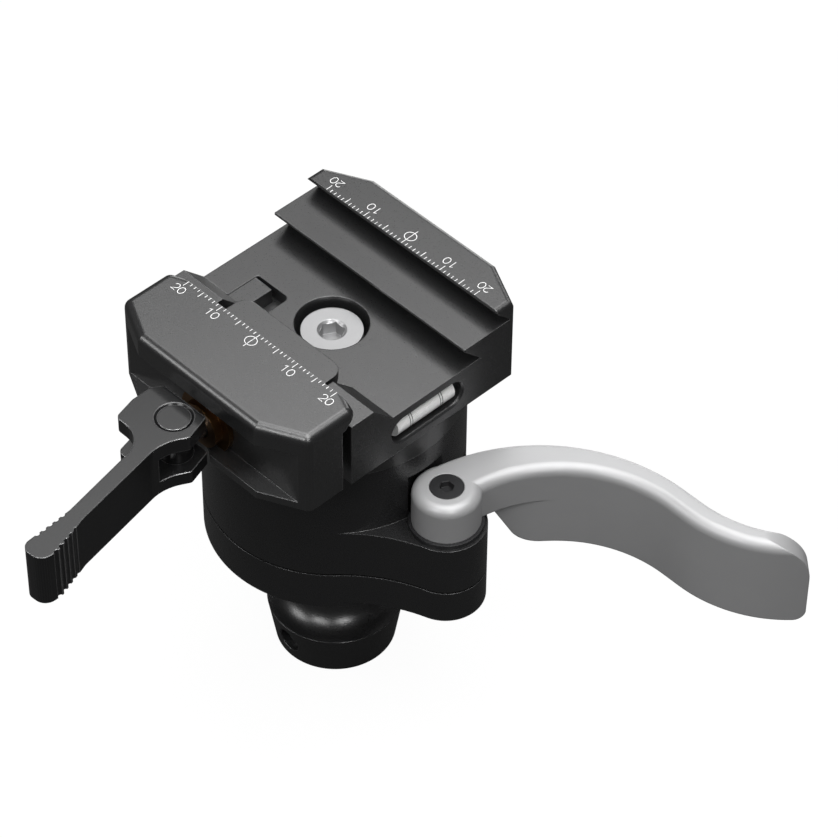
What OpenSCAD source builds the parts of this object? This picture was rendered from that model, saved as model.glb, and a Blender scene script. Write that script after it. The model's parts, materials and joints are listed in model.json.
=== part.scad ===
// Tripod ball head with a two-width lever clamp and a side lock lever.
// Origin: bottom centre of the collar. +Z up, X along the jaws, -Y the sliding jaw. Millimetres.

/* [Clamp seat] */
// Length of the clamp along X
clamp_l = 50.4; // [48:0.2:52]
// Height of the clamp from its underside to the jaw tops
clamp_h = 18.5; // [18.3:0.1:19.5]
// Half the opening between the upper lips, jaw open
lip_half = 17.42; // [16.8:0.02:18]
// Half the opening between the lower lips, jaw open
rail_half = 9.1; // [8.7:0.1:9.4]
// Depth of the wide seat below the jaw tops
seat_d = 4.0; // [3.8:0.1:4.2]
// Depth of the narrow floor below the jaw tops
floor_d = 8.7; // [8.5:0.1:8.9]
// Upright land on each lip
land = 0.75; // [0.5:0.05:0.9]
// Width of the fixed back jaw, lip to outer face
back_w = 8.5; // [7.5:0.1:9.5]
// Inner edge of the front seat strip
strip_in = 13.4; // [13:0.1:13.8]
// Front face of the fixed base
base_front = 18.85; // [18.6:0.05:19.1]
// Corner bevel of both jaws along X
corner_x = 9.2; // [8:0.1:10]
// Corner bevel of both jaws along Y
corner_y = 4.6; // [3.6:0.1:5]
// Rounding of the fixed jaw's outer top edges
back_edge_r = 1.2; // [0.6:0.1:1.8]

/* [Sliding jaw] */
// Depth of the sliding jaw, lip to front face
jaw_w = 16.18; // [16:0.02:16.6]
// Gap to the fixed base, jaw open
jaw_gap = 2.2; // [1.8:0.1:2.4]
// Travel of the jaw from open to closed
jaw_travel = 1.0; // [0.9:0.05:1.2]
// Width of the tongue that carries the lower lip
tongue_w = 26.3; // [25:0.1:27]
// Height of the top cap over the front recess
cap_h = 4.7; // [4.4:0.1:5]
// Height of the bottom flange under the front recess
flange_h = 1.7; // [1.4:0.1:2]
// Depth of the front recess
recess_d = 3.6; // [3.4:0.1:3.8]
// Rounding of the sliding jaw's outer top edges
edge_r = 1.7; // [1:0.1:2.2]
// Length of the sliding jaw along X
jaw_l = 49.2; // [47:0.2:50]
// Shift of the sliding jaw towards the level
jaw_shift = 0.7; // [0:0.1:0.9]
// Upright rounding of the sliding jaw's corners
corner_r = 1.8; // [1:0.1:2.4]

/* [Cam lever] */
// Distance of the lever pin in front of the jaw
pin_off = 4.6; // [4.5:0.05:4.8]
// Height of the cam lever
cam_h = 11.6; // [11.4:0.1:11.8]
// Thickness of the upper ear
cam_ear = 3.2; // [3:0.1:3.4]
// Height of the slot between the ears
cam_slot = 5.6; // [5.4:0.1:5.8]
// Radius of the barrel nut the lever turns on
nut_r = 3.1; // [2.9:0.05:3.2]
// Radius of the draw rod
rod_r = 2.2; // [2:0.05:2.3]
// Radius of the guide pins
guide_r = 2.0; // [1.6:0.05:2.1]

/* [Housing] */
// Outer radius of the housing
house_r = 25.0; // [24.9:0.05:25.2]
// Height of the ball centre and seam
seam_z = 42.15; // [42:0.05:43]
// Height of the housing above the seam
house_h = 26.25; // [25.8:0.05:27]
// Height of the cover below the seam
cover_h = 9.55; // [9.4:0.05:9.7]
// Height of the round foot under the clamp
boss_h = 4.6; // [4:0.1:5.2]
// Distance of the lock axis from the main axis
ear_x = 30.3; // [30.2:0.05:30.5]
// Radius of the lock ear
ear_r = 7.7; // [7.5:0.05:7.9]
// Height of the upper ear above the seam
ear_h = 11.1; // [10.8:0.05:11.4]
// Height of the lower ear below the seam
ear_low = 8.3; // [7.8:0.05:8.8]
// Height of the shadow groove at the seam
seam_gap = 0.4; // [0.2:0.05:0.6]
// Depth of the shadow groove at the seam
seam_cut = 0.8; // [0.5:0.05:1.2]
// Radius of the concave blend from ear to housing
blend_r = 35; // [32:0.5:38]

/* [Ball and foot] */
// Radius of the ball
ball_r = 18; // [17.8:0.05:18.1]
// Thickness of the friction linings
lining_t = 1.55; // [1.4:0.05:1.6]
// Radius of the neck
neck_r = 7; // [6.6:0.1:7.2]
// Radius of the collar at its bottom
foot_r = 11.9; // [11.6:0.1:12.2]
// Radius of the collar at its rim
rim_r = 13.4; // [13:0.1:13.6]
// Height of the collar rim
rim_h = 9.5; // [9:0.1:9.8]
// Radius of the tapped hole in the foot
thread_r = 4.0; // [3.8:0.05:4.2]
// Depth of the tapped hole in the foot
thread_l = 12; // [10:0.5:14]
// Radius of the collar's set screw
set_r = 2.4; // [2.1:0.05:2.5]

/* [Lock lever] */
// Radius of the lever boss
hub_r = 6.5; // [6.3:0.05:6.6]
// Height of the lever boss and bar
bar_h = 8.4; // [8:0.1:8.8]
// Full height of the lever blade
blade_h = 19.4; // [18.6:0.1:19.8]
// Rounding of the lever's front top edge
lever_r = 2.0; // [1.2:0.1:2.2]
// Radius of the clamp bolt
bolt_r = 3.0; // [2.8:0.05:3.1]

/* [Fits] */
// Running clearance of turning and sliding fits
run = 0.05; // [0.03:0.01:0.08]
// Clearance between pieces that pass each other
pass = 0.3; // [0.3:0.05:0.4]

/* [Hidden] */
$fn = 96;

black = [0.09, 0.09, 0.095];
silver = [0.78, 0.78, 0.79];
steel = [0.62, 0.62, 0.64];
brass = [0.72, 0.55, 0.28];

// Levels
boss_z = seam_z + house_h;
base_z = boss_z + boss_h;
top_z = base_z + clamp_h;
seat_z = top_z - seat_d;
floor_z = top_z - floor_d;
cover_z = seam_z - cover_h;
low_z = seam_z - ear_low;
ear_z = seam_z + ear_h;
washer_t = 0.9;
hub_z = ear_z + washer_t + run;
hub_top = hub_z + bar_h;
blade_z = hub_top - blade_h;

// Clamp lines
clamp_x = clamp_l / 2;
jaw_x = jaw_l / 2;
back_y = lip_half + back_w;
jaw_front = lip_half + jaw_w;
jaw_rear = base_front + jaw_gap;
jaw_z = base_z + pass;
strip_drop = seat_z - floor_z;
groove_y = rail_half + strip_drop - 0.55;
root_y = lip_half + seat_d - land;
tongue_top = seat_z - 1;
tongue_z = floor_z + pass;
notch_x = tongue_w / 2 + 1.45;
corner_a = atan2(corner_x, corner_y);

// Cam lever
pin_y = -(jaw_front + pin_off);
cam_top = top_z - cap_h - 1.6;
cam_z = cam_top - cam_h;
slot_z = cam_top - cam_ear - cam_slot;
rod_z = slot_z + cam_slot / 2;
cam_flat = 4.0;
saddle_gap = 1.5;
saddle_y = pin_y + cam_flat + saddle_gap;
saddle_r = 6.4;
saddle_in = 4.6;
saddle_t = 1.0;
swing_r = 5.9;
guide_x = 17;
guide_end = 11;
guide_seat = 6.4;
rod_end = 8.5;
spring_x = 9.5;
spring_r = 2.0;
spring_wall = 0.5;
spring_end = 13;
spring_seat = 6;

// Dowels between clamp and housing
dowel_x = 14;
dowel_y = 12;
dowel_r = 1.5;
dowel_l = 3;

// Clamp screw
screw_sink = 6.4;
screw_head_r = 5.8;
screw_head_h = 4.7;
screw_space = 1.15;
screw_r = 4;
screw_grip = 5;

// Cover screws
cover_screw_r = 1.25;
cover_head_r = 2.25;
cover_head_h = 2.4;
cover_sink = 0.1;
cover_grip = 7.5;

// Ball seat
cav_r = ball_r + lining_t + 2 * run;
mouth_r = ball_r + 0.35;
lining_z = cover_z + 1.8;
screw_in = 0.125;
screw_ring = (house_r + cav_r) / 2 - screw_in;
cover_screw_a = [110, 180, 250];

// Level
vial_x = clamp_x - 2.8;
vial_z = base_z + 5;
vial_r = 2.5;
vial_wall = 0.55;
vial_end = 0.7;
bubble_r = 1.9;
bubble_up = 2.6;
win_r = 2.75;
win_d = 5.4;
win_y = 8.7 - win_r;
win_ease = 0.4;
vial_half = win_y + sqrt(win_r * win_r - vial_r * vial_r) - run;

// Recoil stop
stop_x0 = -18.5;
stop_x1 = -14;
stop_y0 = -9;
stop_y1 = -2;
stop_h = 5.4;

function unit(v) = v / norm(v);
function turn(d) = d > 180 ? d - 360 : d < -180 ? d + 360 : d;
function arc(c, r, a, b, n) = [for (i = [0:n]) c + r * [cos(a + (b - a) * i / n), sin(a + (b - a) * i / n)]];
function dir(p, c) = atan2(p[1] - c[1], p[0] - c[0]);
function fillet(a, b, c, r, n = 8) =
    let (u = unit(a - b), v = unit(c - b), h = acos(u * v) / 2)
    let (m = b + unit(u + v) * r / sin(h), s = b + u * r / tan(h), e = b + v * r / tan(h))
    arc(m, r, dir(s, m), dir(s, m) + turn(dir(e, m) - dir(s, m)), n);
function xy(p) = [p[0], p[1]];
function rounded(p) = let (n = len(p)) [for (i = [0:n - 1])
    each (p[i][2] > 0 ? fillet(xy(p[(i + n - 1) % n]), xy(p[i]), xy(p[(i + 1) % n]), p[i][2]) : [xy(p[i])])];

// Half space with face at distance d towards angle a, from z0 to z1, its top edge rounded by r
module edge_slab(a, d, z0, z1, r) {
    rotate([0, 0, a]) rotate([90, 0, 0]) translate([0, 0, -90]) linear_extrude(180) union() {
        translate([-90, z0]) square([90 + d, z1 - r - z0]);
        translate([-90, z0]) square([90 + d - r, z1 - z0]);
        translate([d - r, z1 - r]) circle(r);
    }
}

// Prism of a YZ profile along X
module along_x(l) {
    rotate([90, 0, 90]) translate([0, 0, -l / 2]) linear_extrude(l) children();
}

// Cylinder along +Y starting at y0
module bore_y(x, y0, z, r, l) {
    translate([x, y0, z]) rotate([-90, 0, 0]) cylinder(r = r, h = l);
}

// Rounded slot prism along +X
module slot_x(x0, r, half, l) {
    translate([x0, 0, vial_z]) rotate([90, 0, 90]) linear_extrude(l) union() {
        translate([-half, -r]) square([2 * half, 2 * r]);
        translate([-half, 0]) circle(r);
        translate([half, 0]) circle(r);
    }
}

// Plan of housing and cover: round body, ear and concave blends
blend_d = house_r + blend_r;
blend_e = ear_r + blend_r;
blend_x = (blend_d * blend_d - blend_e * blend_e + ear_x * ear_x) / (2 * ear_x);
blend_y = sqrt(blend_d * blend_d - blend_x * blend_x);
web_a = [blend_x, blend_y] * house_r / blend_d;
web_b = [ear_x, 0] + ([blend_x, blend_y] - [ear_x, 0]) * ear_r / blend_e;

module ear_web(z, h) {
    translate([0, 0, z]) linear_extrude(h) difference() {
        polygon([web_a, web_b, [web_b[0], -web_b[1]], [web_a[0], -web_a[1]]]);
        translate([blend_x, blend_y]) circle(blend_r);
        translate([blend_x, -blend_y]) circle(blend_r);
    }
}

module screw_ring_at(z, r, h) {
    for (a = cover_screw_a) rotate([0, 0, a]) translate([screw_ring, 0, z]) cylinder(r = r, h = h);
}

module lining(a0, a1) {
    rotate_extrude() translate([0, 0]) intersection() {
        difference() {
            circle(ball_r + run + lining_t);
            circle(ball_r + run);
        }
        polygon([[0, 0], [60 * sin(a0), 60 * cos(a0)], [60 * sin((a0 + a1) / 2), 60 * cos((a0 + a1) / 2)],
            [60 * sin(a1), 60 * cos(a1)]]);
    }
}

module ball_stem() {
    color(black) difference() {
        union() {
            translate([0, 0, seam_z]) sphere(ball_r);
            cylinder(r = neck_r, h = seam_z - ball_r / 2);
        }
        translate([0, 0, -1]) cylinder(r = thread_r, h = thread_l + 1);
    }
}

module base_collar() {
    dish = rim_r - 0.6;
    dish_r = dish - neck_r - 0.6;
    color(black) difference() {
        rotate_extrude() difference() {
            polygon([[neck_r, 0], [foot_r, 0], [rim_r, rim_h], [dish, rim_h], [dish, rim_h + dish_r],
                [neck_r, rim_h + dish_r]]);
            translate([dish, rim_h + dish_r]) circle(dish_r);
        }
        bore_y(0, -rim_r - 1, rim_h / 2, set_r, rim_r);
        translate([0, -rim_r - 1, rim_h / 2]) rotate([-90, 0, 0])
            cylinder(r1 = set_r + 2, r2 = set_r, h = 2.2);
    }
}

module collar_set_screw() {
    color(steel) difference() {
        bore_y(0, -foot_r + 1.3, rim_h / 2, set_r, foot_r - 1.3 - neck_r);
        translate([0, -foot_r + 1.3, rim_h / 2]) rotate([-90, 0, 0]) cylinder(r = 1.4, h = 1.6, $fn = 6);
    }
}

module pressure_cup() {
    color([0.85, 0.83, 0.78]) translate([0, 0, seam_z]) lining(0, 55);
}

module lower_seat() {
    low_a = 180 - acos((seam_z - lining_z) / (ball_r + run + lining_t));
    color([0.85, 0.83, 0.78]) translate([0, 0, seam_z]) lining(95, low_a);
}

module housing() {
    color(black) difference() {
        union() {
            translate([0, 0, seam_z]) cylinder(r = house_r, h = house_h);
            translate([ear_x, 0, seam_z]) cylinder(r = ear_r, h = ear_h);
            ear_web(seam_z, ear_h);
        }
        translate([0, 0, seam_z]) sphere(cav_r);
        translate([ear_x, 0, seam_z - 1]) cylinder(r = bolt_r + run, h = ear_h + 2);
        translate([ear_x, 0, ear_z]) cylinder(r = hub_r + 0.7, h = bar_h + 2);
        screw_ring_at(seam_z - 1, cover_screw_r, cover_grip + 1.5);
        translate([0, 0, boss_z - screw_grip - 0.4]) cylinder(r = screw_r, h = screw_grip + 1);
        for (x = [-dowel_x, dowel_x]) translate([x, dowel_y, boss_z - dowel_l])
            cylinder(r = dowel_r, h = dowel_l + 1);
    }
}

module lower_cover() {
    chamfer = 0.5;
    color(black) difference() {
        union() {
            translate([0, 0, cover_z + chamfer]) cylinder(r = house_r, h = cover_h - chamfer - seam_gap);
            translate([0, 0, cover_z]) cylinder(r1 = house_r - chamfer, r2 = house_r, h = chamfer);
            translate([0, 0, cover_z + 1]) cylinder(r = house_r - seam_cut, h = cover_h - 1);
            translate([ear_x, 0, low_z + chamfer]) cylinder(r = ear_r, h = ear_low - chamfer - seam_gap);
            translate([ear_x, 0, low_z]) cylinder(r1 = ear_r - chamfer, r2 = ear_r, h = chamfer);
            translate([ear_x, 0, low_z + 1]) cylinder(r = ear_r - seam_cut, h = ear_low - 1);
            ear_web(low_z + chamfer, ear_low - chamfer - seam_gap);
        }
        intersection() {
            translate([0, 0, seam_z]) sphere(cav_r);
            translate([-30, -30, lining_z - run]) cube([60, 60, 30]);
        }
        translate([0, 0, seam_z]) sphere(mouth_r);
        translate([ear_x, 0, low_z + 1.2]) cylinder(r = bolt_r + run, h = cover_h);
        screw_ring_at(cover_z - 1, cover_screw_r + 0.15, cover_h + 2);
        screw_ring_at(cover_z - 1, cover_head_r + 0.1, cover_head_h + cover_sink + 1);
    }
}

module cover_screws() {
    color(steel) for (a = cover_screw_a) rotate([0, 0, a]) translate([screw_ring, 0, 0]) difference() {
        union() {
            translate([0, 0, cover_z + cover_sink]) cylinder(r = cover_head_r, h = cover_head_h);
            translate([0, 0, cover_z + cover_sink + cover_head_h])
                cylinder(r = cover_screw_r, h = cover_h + cover_grip - cover_sink - cover_head_h);
        }
        translate([0, 0, cover_z - 1]) cylinder(r = 1.15, h = 2.4, $fn = 6);
    }
}

module thrust_washer() {
    color(steel) translate([ear_x, 0, ear_z]) difference() {
        cylinder(r = hub_r + 0.6, h = washer_t);
        translate([0, 0, -1]) cylinder(r = bolt_r + run, h = 3);
    }
}

module base_section() {
    polygon([[-base_front, base_z], [-base_front, seat_z], [-strip_in, seat_z],
        [-strip_in + strip_drop, floor_z], [groove_y, floor_z], [rail_half, seat_z - 0.55], [rail_half, seat_z],
        [root_y, seat_z], [lip_half, top_z - land], [lip_half, top_z], [back_y, top_z], [back_y, base_z]]);
}

module clamp_base() {
    d = cos(corner_a) * clamp_x + sin(corner_a) * (back_y - corner_y);
    color(black) difference() {
        union() {
            intersection() {
                along_x(clamp_l) base_section();
                edge_slab(0, clamp_x, base_z - 1, top_z, back_edge_r);
                edge_slab(180, clamp_x, base_z - 1, top_z, back_edge_r);
                edge_slab(90, back_y, base_z - 1, top_z, back_edge_r);
                edge_slab(corner_a, d, base_z - 1, top_z, back_edge_r);
                edge_slab(180 - corner_a, d, base_z - 1, top_z, back_edge_r);
            }
            translate([0, 0, boss_z]) cylinder(r = clamp_x, h = boss_h);
        }
        // Notch for the tongue
        translate([-notch_x, -base_front - 1, floor_z])
            cube([2 * notch_x, base_front + 1 - strip_in + strip_drop, 20]);
        // Screw recess and hole
        translate([0, 0, floor_z - screw_sink]) cylinder(r = screw_head_r + screw_space, h = 20);
        translate([0, 0, boss_z - 1]) cylinder(r = screw_r + 0.3, h = 20);
        // Recoil stop pocket and its guide slot
        translate([0, 0, floor_z - 3]) linear_extrude(6) polygon(rounded([[stop_x0 - 0.1, stop_y0 - pass, 0],
            [-10.1, stop_y0 - pass, 0], [-10.1, -1.2, 1.2], [stop_x0 - 0.1, -1.2, 0.6]]));
        translate([stop_x0 - 0.1, stop_y0 - 0.1, floor_z - stop_h - 0.2])
            cube([stop_x1 - stop_x0 + 0.2, stop_y1 - stop_y0 + 0.2, stop_h]);
        // Draw rod, guide pins and springs
        bore_y(0, -base_front - 1, rod_z, rod_r, base_front + 1 - rod_end);
        for (s = [-1, 1]) {
            bore_y(s * guide_x, -base_front - 1, rod_z, guide_r, base_front + 1 - guide_end);
            bore_y(s * spring_x, -base_front - 1, rod_z, spring_r + 0.2, base_front + 1 - spring_end);
        }
        // Level window
        slot_x(clamp_x - win_d, win_r, win_y, 10);
        translate([clamp_x - win_ease, 0, vial_z]) {
            for (y = [-win_y, win_y]) translate([0, y, 0]) rotate([0, 90, 0])
                cylinder(r1 = win_r, r2 = win_r + 2 * win_ease, h = 2 * win_ease);
            translate([0, win_y, 0]) rotate([90, 0, 0]) linear_extrude(2 * win_y)
                polygon([[0, -win_r], [2 * win_ease, -win_r - 2 * win_ease],
                    [2 * win_ease, win_r + 2 * win_ease], [0, win_r]]);
        }
        // Locating pins
        for (x = [-dowel_x, dowel_x]) translate([x, dowel_y, boss_z - 1])
            cylinder(r = dowel_r, h = dowel_l + 1);
    }
}

module clamp_screw() {
    head_z = floor_z - screw_sink;
    color(steel) difference() {
        union() {
            translate([0, 0, head_z]) cylinder(r = screw_head_r, h = screw_head_h);
            translate([0, 0, boss_z - screw_grip])
                cylinder(r = screw_r, h = head_z - boss_z + screw_grip + 1);
        }
        translate([0, 0, head_z + 1.7]) cylinder(r = 2.45, h = 6, $fn = 6);
        translate([0, 0, head_z + screw_head_h - 0.5]) cylinder(r1 = 2.25, r2 = 2.85, h = 0.6);
    }
}

module locating_pins() {
    color(steel) for (x = [-dowel_x, dowel_x]) translate([x, dowel_y, boss_z - dowel_l])
        cylinder(r = dowel_r, h = 2 * dowel_l);
}

module vial_bed() {
    color([0.9, 0.9, 0.88]) difference() {
        slot_x(clamp_x - win_d, win_r, win_y, vial_x - clamp_x + win_d);
        bore_y(vial_x, -vial_half, vial_z, vial_r, 2 * vial_half);
    }
}

module level_vial() {
    color([0.9, 0.95, 0.9, 0.35]) difference() {
        bore_y(vial_x, -vial_half, vial_z, vial_r, 2 * vial_half);
        bore_y(vial_x, -vial_half + vial_end, vial_z, vial_r - vial_wall, 2 * (vial_half - vial_end));
    }
}

module level_liquid() {
    color([0.75, 0.85, 0.35, 0.6]) difference() {
        bore_y(vial_x, -vial_half + vial_end, vial_z, vial_r - vial_wall, 2 * (vial_half - vial_end));
        translate([vial_x, 0, vial_z + bubble_up]) sphere(bubble_r);
    }
}

module draw_rod() {
    color(steel) bore_y(0, pin_y - nut_r + 0.6, rod_z, rod_r, -pin_y + nut_r - 0.6 - rod_end);
}

module barrel_nut() {
    color(steel) difference() {
        translate([0, pin_y, cam_z + 0.2]) cylinder(r = nut_r, h = cam_h - 0.3);
        bore_y(0, pin_y - nut_r + 0.6, rod_z, rod_r, 10);
    }
}

module guide_pins() {
    color(steel) for (s = [-1, 1]) bore_y(s * guide_x, -jaw_rear - guide_seat, rod_z, guide_r,
        jaw_rear + guide_seat - guide_end);
}

module jaw_springs() {
    color(steel) for (s = [-1, 1]) difference() {
        bore_y(s * spring_x, -jaw_rear - spring_seat, rod_z, spring_r, jaw_rear + spring_seat - spring_end);
        bore_y(s * spring_x, -jaw_rear - spring_seat - 1, rod_z, spring_r - spring_wall,
            jaw_rear + spring_seat + 2 - spring_end);
    }
}

module jaw_section() {
    polygon([[-jaw_front, jaw_z], [-jaw_rear, jaw_z], [-jaw_rear, seat_z + pass],
        [-lip_half - seat_d + land + pass, seat_z + pass], [-lip_half, top_z - land], [-lip_half, top_z],
        [-jaw_front, top_z]]);
}

module tongue() {
    reach = tongue_top - 0.6 - tongue_z;
    intersection() {
        along_x(tongue_w) polygon([[-jaw_rear - 1, tongue_z], [-rail_half - reach, tongue_z],
            [-rail_half, tongue_top - 0.6], [-rail_half, tongue_top], [-jaw_rear - 1, tongue_top]]);
        translate([0, 0, tongue_z - 1]) linear_extrude(20) polygon(rounded([[-tongue_w / 2, -jaw_rear - 2, 0],
            [tongue_w / 2, -jaw_rear - 2, 0], [tongue_w / 2, -rail_half, 2.75],
            [-tongue_w / 2, -rail_half, 2.75]]));
    }
}

// Face of the sliding jaw that touches the upright rounding about c, towards angle a
module corner_slab(c, a) {
    edge_slab(a, c * [cos(a), sin(a)] + corner_r, jaw_z - 1, top_z, edge_r);
}

module sliding_jaw() {
    d = cos(corner_a) * jaw_x + sin(corner_a) * (jaw_front - corner_y);
    x = jaw_x - corner_r;
    y = (d - corner_r - cos(corner_a) * x) / sin(corner_a);
    color(black) difference() {
        union() {
            translate([jaw_shift, 0, 0]) intersection() {
                along_x(2 * jaw_x) jaw_section();
                edge_slab(0, jaw_x, jaw_z - 1, top_z, edge_r);
                edge_slab(180, jaw_x, jaw_z - 1, top_z, edge_r);
                edge_slab(-90, jaw_front, jaw_z - 1, top_z, edge_r);
                edge_slab(-corner_a, d, jaw_z - 1, top_z, edge_r);
                edge_slab(180 + corner_a, d, jaw_z - 1, top_z, edge_r);
                corner_slab([x, -y], -corner_a * 0.25);
                corner_slab([x, -y], -corner_a * 0.5);
                corner_slab([x, -y], -corner_a * 0.75);
                corner_slab([-x, -y], 180 + corner_a * 0.25);
                corner_slab([-x, -y], 180 + corner_a * 0.5);
                corner_slab([-x, -y], 180 + corner_a * 0.75);
                corner_slab([x, -lip_half - corner_r], 22.5);
                corner_slab([x, -lip_half - corner_r], 45);
                corner_slab([x, -lip_half - corner_r], 67.5);
                corner_slab([-x, -lip_half - corner_r], 157.5);
                corner_slab([-x, -lip_half - corner_r], 135);
                corner_slab([-x, -lip_half - corner_r], 112.5);
            }
            tongue();
        }
        // Front recess for the lever
        translate([-40, -jaw_front - 10, jaw_z + flange_h])
            cube([80, 10 + recess_d, top_z - cap_h - jaw_z - flange_h]);
        // Relief in the flange for the swing of the lever head
        translate([0, pin_y, jaw_z - 1]) cylinder(r = swing_r, h = flange_h + 2);
        // Draw rod, guide pins and springs
        bore_y(0, -jaw_front - 5, rod_z, rod_r + pass, 30);
        for (s = [-1, 1]) {
            bore_y(s * guide_x, -jaw_rear - guide_seat - 1.4, rod_z, guide_r + run, 30);
            bore_y(s * spring_x, -jaw_rear - spring_seat, rod_z, spring_r + 0.2, 30);
        }
    }
}

module cam_saddle() {
    face = -jaw_front + recess_d;
    color(brass) difference() {
        intersection() {
            union() {
                bore_y(0, face - saddle_t, rod_z, saddle_r, saddle_t);
                bore_y(0, saddle_y, rod_z, saddle_in, face - saddle_y);
            }
            // Flat where it stands on the flange and meets the cap
            translate([-saddle_r - 1, face - 10, jaw_z + flange_h])
                cube([2 * saddle_r + 2, 20, top_z - cap_h - jaw_z - flange_h]);
        }
        bore_y(0, saddle_y - 1, rod_z, rod_r + pass, 20);
    }
}

// Cam lever outline about its pin, jaw open
cam_plan = [[3.99, cam_flat, 0.5], [-7.0, cam_flat, 1.0], [-8.4, 2.0, 1.5], [-8.4, -2.4, 3.0],
    [-7.1, -7.4, 1.2], [0.35, -7.4, 5.8], [1.55, -14, 0], [4.45, -28, 6], [4.9, -36.4, 2.0],
    [5.1, -39.7, 2.0], [10.2, -39.3, 2.4], [10.3, -35.4, 2.0], [7.6, -27.8, 6], [3.2, -5.9, 9.0],
    [5.65, -1.3, 0.9]];

module clamp_lever() {
    color(black) translate([0, pin_y, 0]) difference() {
        translate([0, 0, cam_z]) linear_extrude(cam_h) polygon(rounded(cam_plan));
        // Slot between the ears
        translate([0, 0, slot_z]) linear_extrude(cam_slot)
            polygon([[-12, -10], [-0.6, -10], [-0.6, -7.6], [0, -7], [12, -7], [12, 7], [-12, 7]]);
        // Pin hole, eased at the top
        translate([0, 0, cam_z - 1]) cylinder(r = nut_r + run, h = cam_h + 2);
        translate([0, 0, cam_top - 0.5]) cylinder(r1 = nut_r + run, r2 = nut_r + run + 0.55, h = 0.55);
        // Grip grooves on both sides
        for (i = [0:4]) {
            translate([8.75 + 0.4 * i, -30 - 1.45 * i, cam_z - 1])
                cylinder(r = 0.55, h = cam_h + 2, $fn = 24);
            translate([4.28 + 0.1 * i, -29.6 - 1.5 * i, cam_z - 1])
                cylinder(r = 0.55, h = cam_h + 2, $fn = 24);
        }
    }
}

// Lock lever curves, rest pose: back edge arcs b1 b2 from the lock axis, then front edge arcs f1 f2
b1r = 35.85;
b1c = [ear_x + b1r - 6.05, -4.75];
// Front arc set in from the back arc, its centre moved so that the lever thins towards the bend
front_in = 9.25;
f1c = b1c + [0.6, 4.45];
f1r = b1r - front_in;
turn_x = b1c[0] + 4.9;
b2r = 25.5;
b2c = [turn_x, b1c[1] + b1r + b2r];
f2r = 27;
f2c = [turn_x, f1c[1] + f1r + f2r];
// Direction of the lever at its tip, its end rounding above and below
tip_a = 48;
tip_top_r = 8.5;
tip_low_r = 2.4;
tip_turn = 52.8;
tip_at = f2c + f2r * [sin(tip_turn), -cos(tip_turn)];

// Disc with a rounded top rim, and ring with a rounded top inner rim
module disc(c, r, e) {
    translate([c[0], c[1], blade_z]) rotate_extrude() union() {
        square([r, blade_h - e]);
        square([r - e, blade_h]);
        translate([r - e, blade_h - e]) circle(e);
    }
}

module ring(c, r, e) {
    translate([c[0], c[1], blade_z]) rotate_extrude() union() {
        translate([r, 0]) square([40, blade_h - e]);
        translate([r + e, 0]) square([40 - e, blade_h]);
        translate([r + e, blade_h - e]) circle(e);
    }
}

module zone(p) {
    translate([0, 0, blade_z - 1]) linear_extrude(blade_h + 2) polygon(p);
}

// Everything behind the lever's front edge
module front_side() {
    e = lever_r;
    y = f1c[1] + f1r;
    intersection() {
        zone([[10, 0], [f1c[0], 0], [f1c[0], 60], [10, 60]]);
        ring(f1c, f1r, e);
    }
    translate([f1c[0], 0, blade_z]) rotate([90, 0, 90]) linear_extrude(turn_x - f1c[0]) union() {
        translate([y, 0]) square([30, blade_h - e]);
        translate([y + e, 0]) square([30 - e, blade_h]);
        translate([y + e, blade_h - e]) circle(e);
    }
    intersection() {
        zone([[turn_x, 0], [130, 0], [130, f2c[1]], f2c]);
        disc(f2c, f2r, e);
    }
}

// Everything before the lever's back edge
module back_side() {
    e = 1.0;
    y = b1c[1] + b1r;
    intersection() {
        zone([[10, 0], [b1c[0], 0], [b1c[0], 60], [10, 60]]);
        disc(b1c, b1r, e);
    }
    translate([b1c[0], 0, blade_z]) rotate([90, 0, 90]) linear_extrude(turn_x - b1c[0]) union() {
        square([y, blade_h - e]);
        square([y - e, blade_h]);
        translate([y - e, blade_h - e]) circle(e);
    }
    intersection() {
        zone([[turn_x, 0], [130, 0], [130, b2c[1]], b2c]);
        ring(b2c, b2r, e);
    }
}

module lever_band() {
    intersection() {
        front_side();
        back_side();
        translate([tip_at[0], tip_at[1], blade_z]) rotate([0, 0, tip_a]) rotate([90, 0, 0])
            translate([0, 0, -40]) linear_extrude(80) union() {
                translate([-120, 0]) square([120 - tip_top_r, blade_h]);
                translate([-120, tip_low_r]) square([120, blade_h - tip_top_r - tip_low_r]);
                translate([-120, 0]) square([120 - tip_low_r, blade_h - tip_top_r]);
                translate([-tip_top_r, blade_h - tip_top_r]) circle(tip_top_r);
                translate([-tip_low_r, tip_low_r]) circle(tip_low_r);
            }
    }
}

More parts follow.
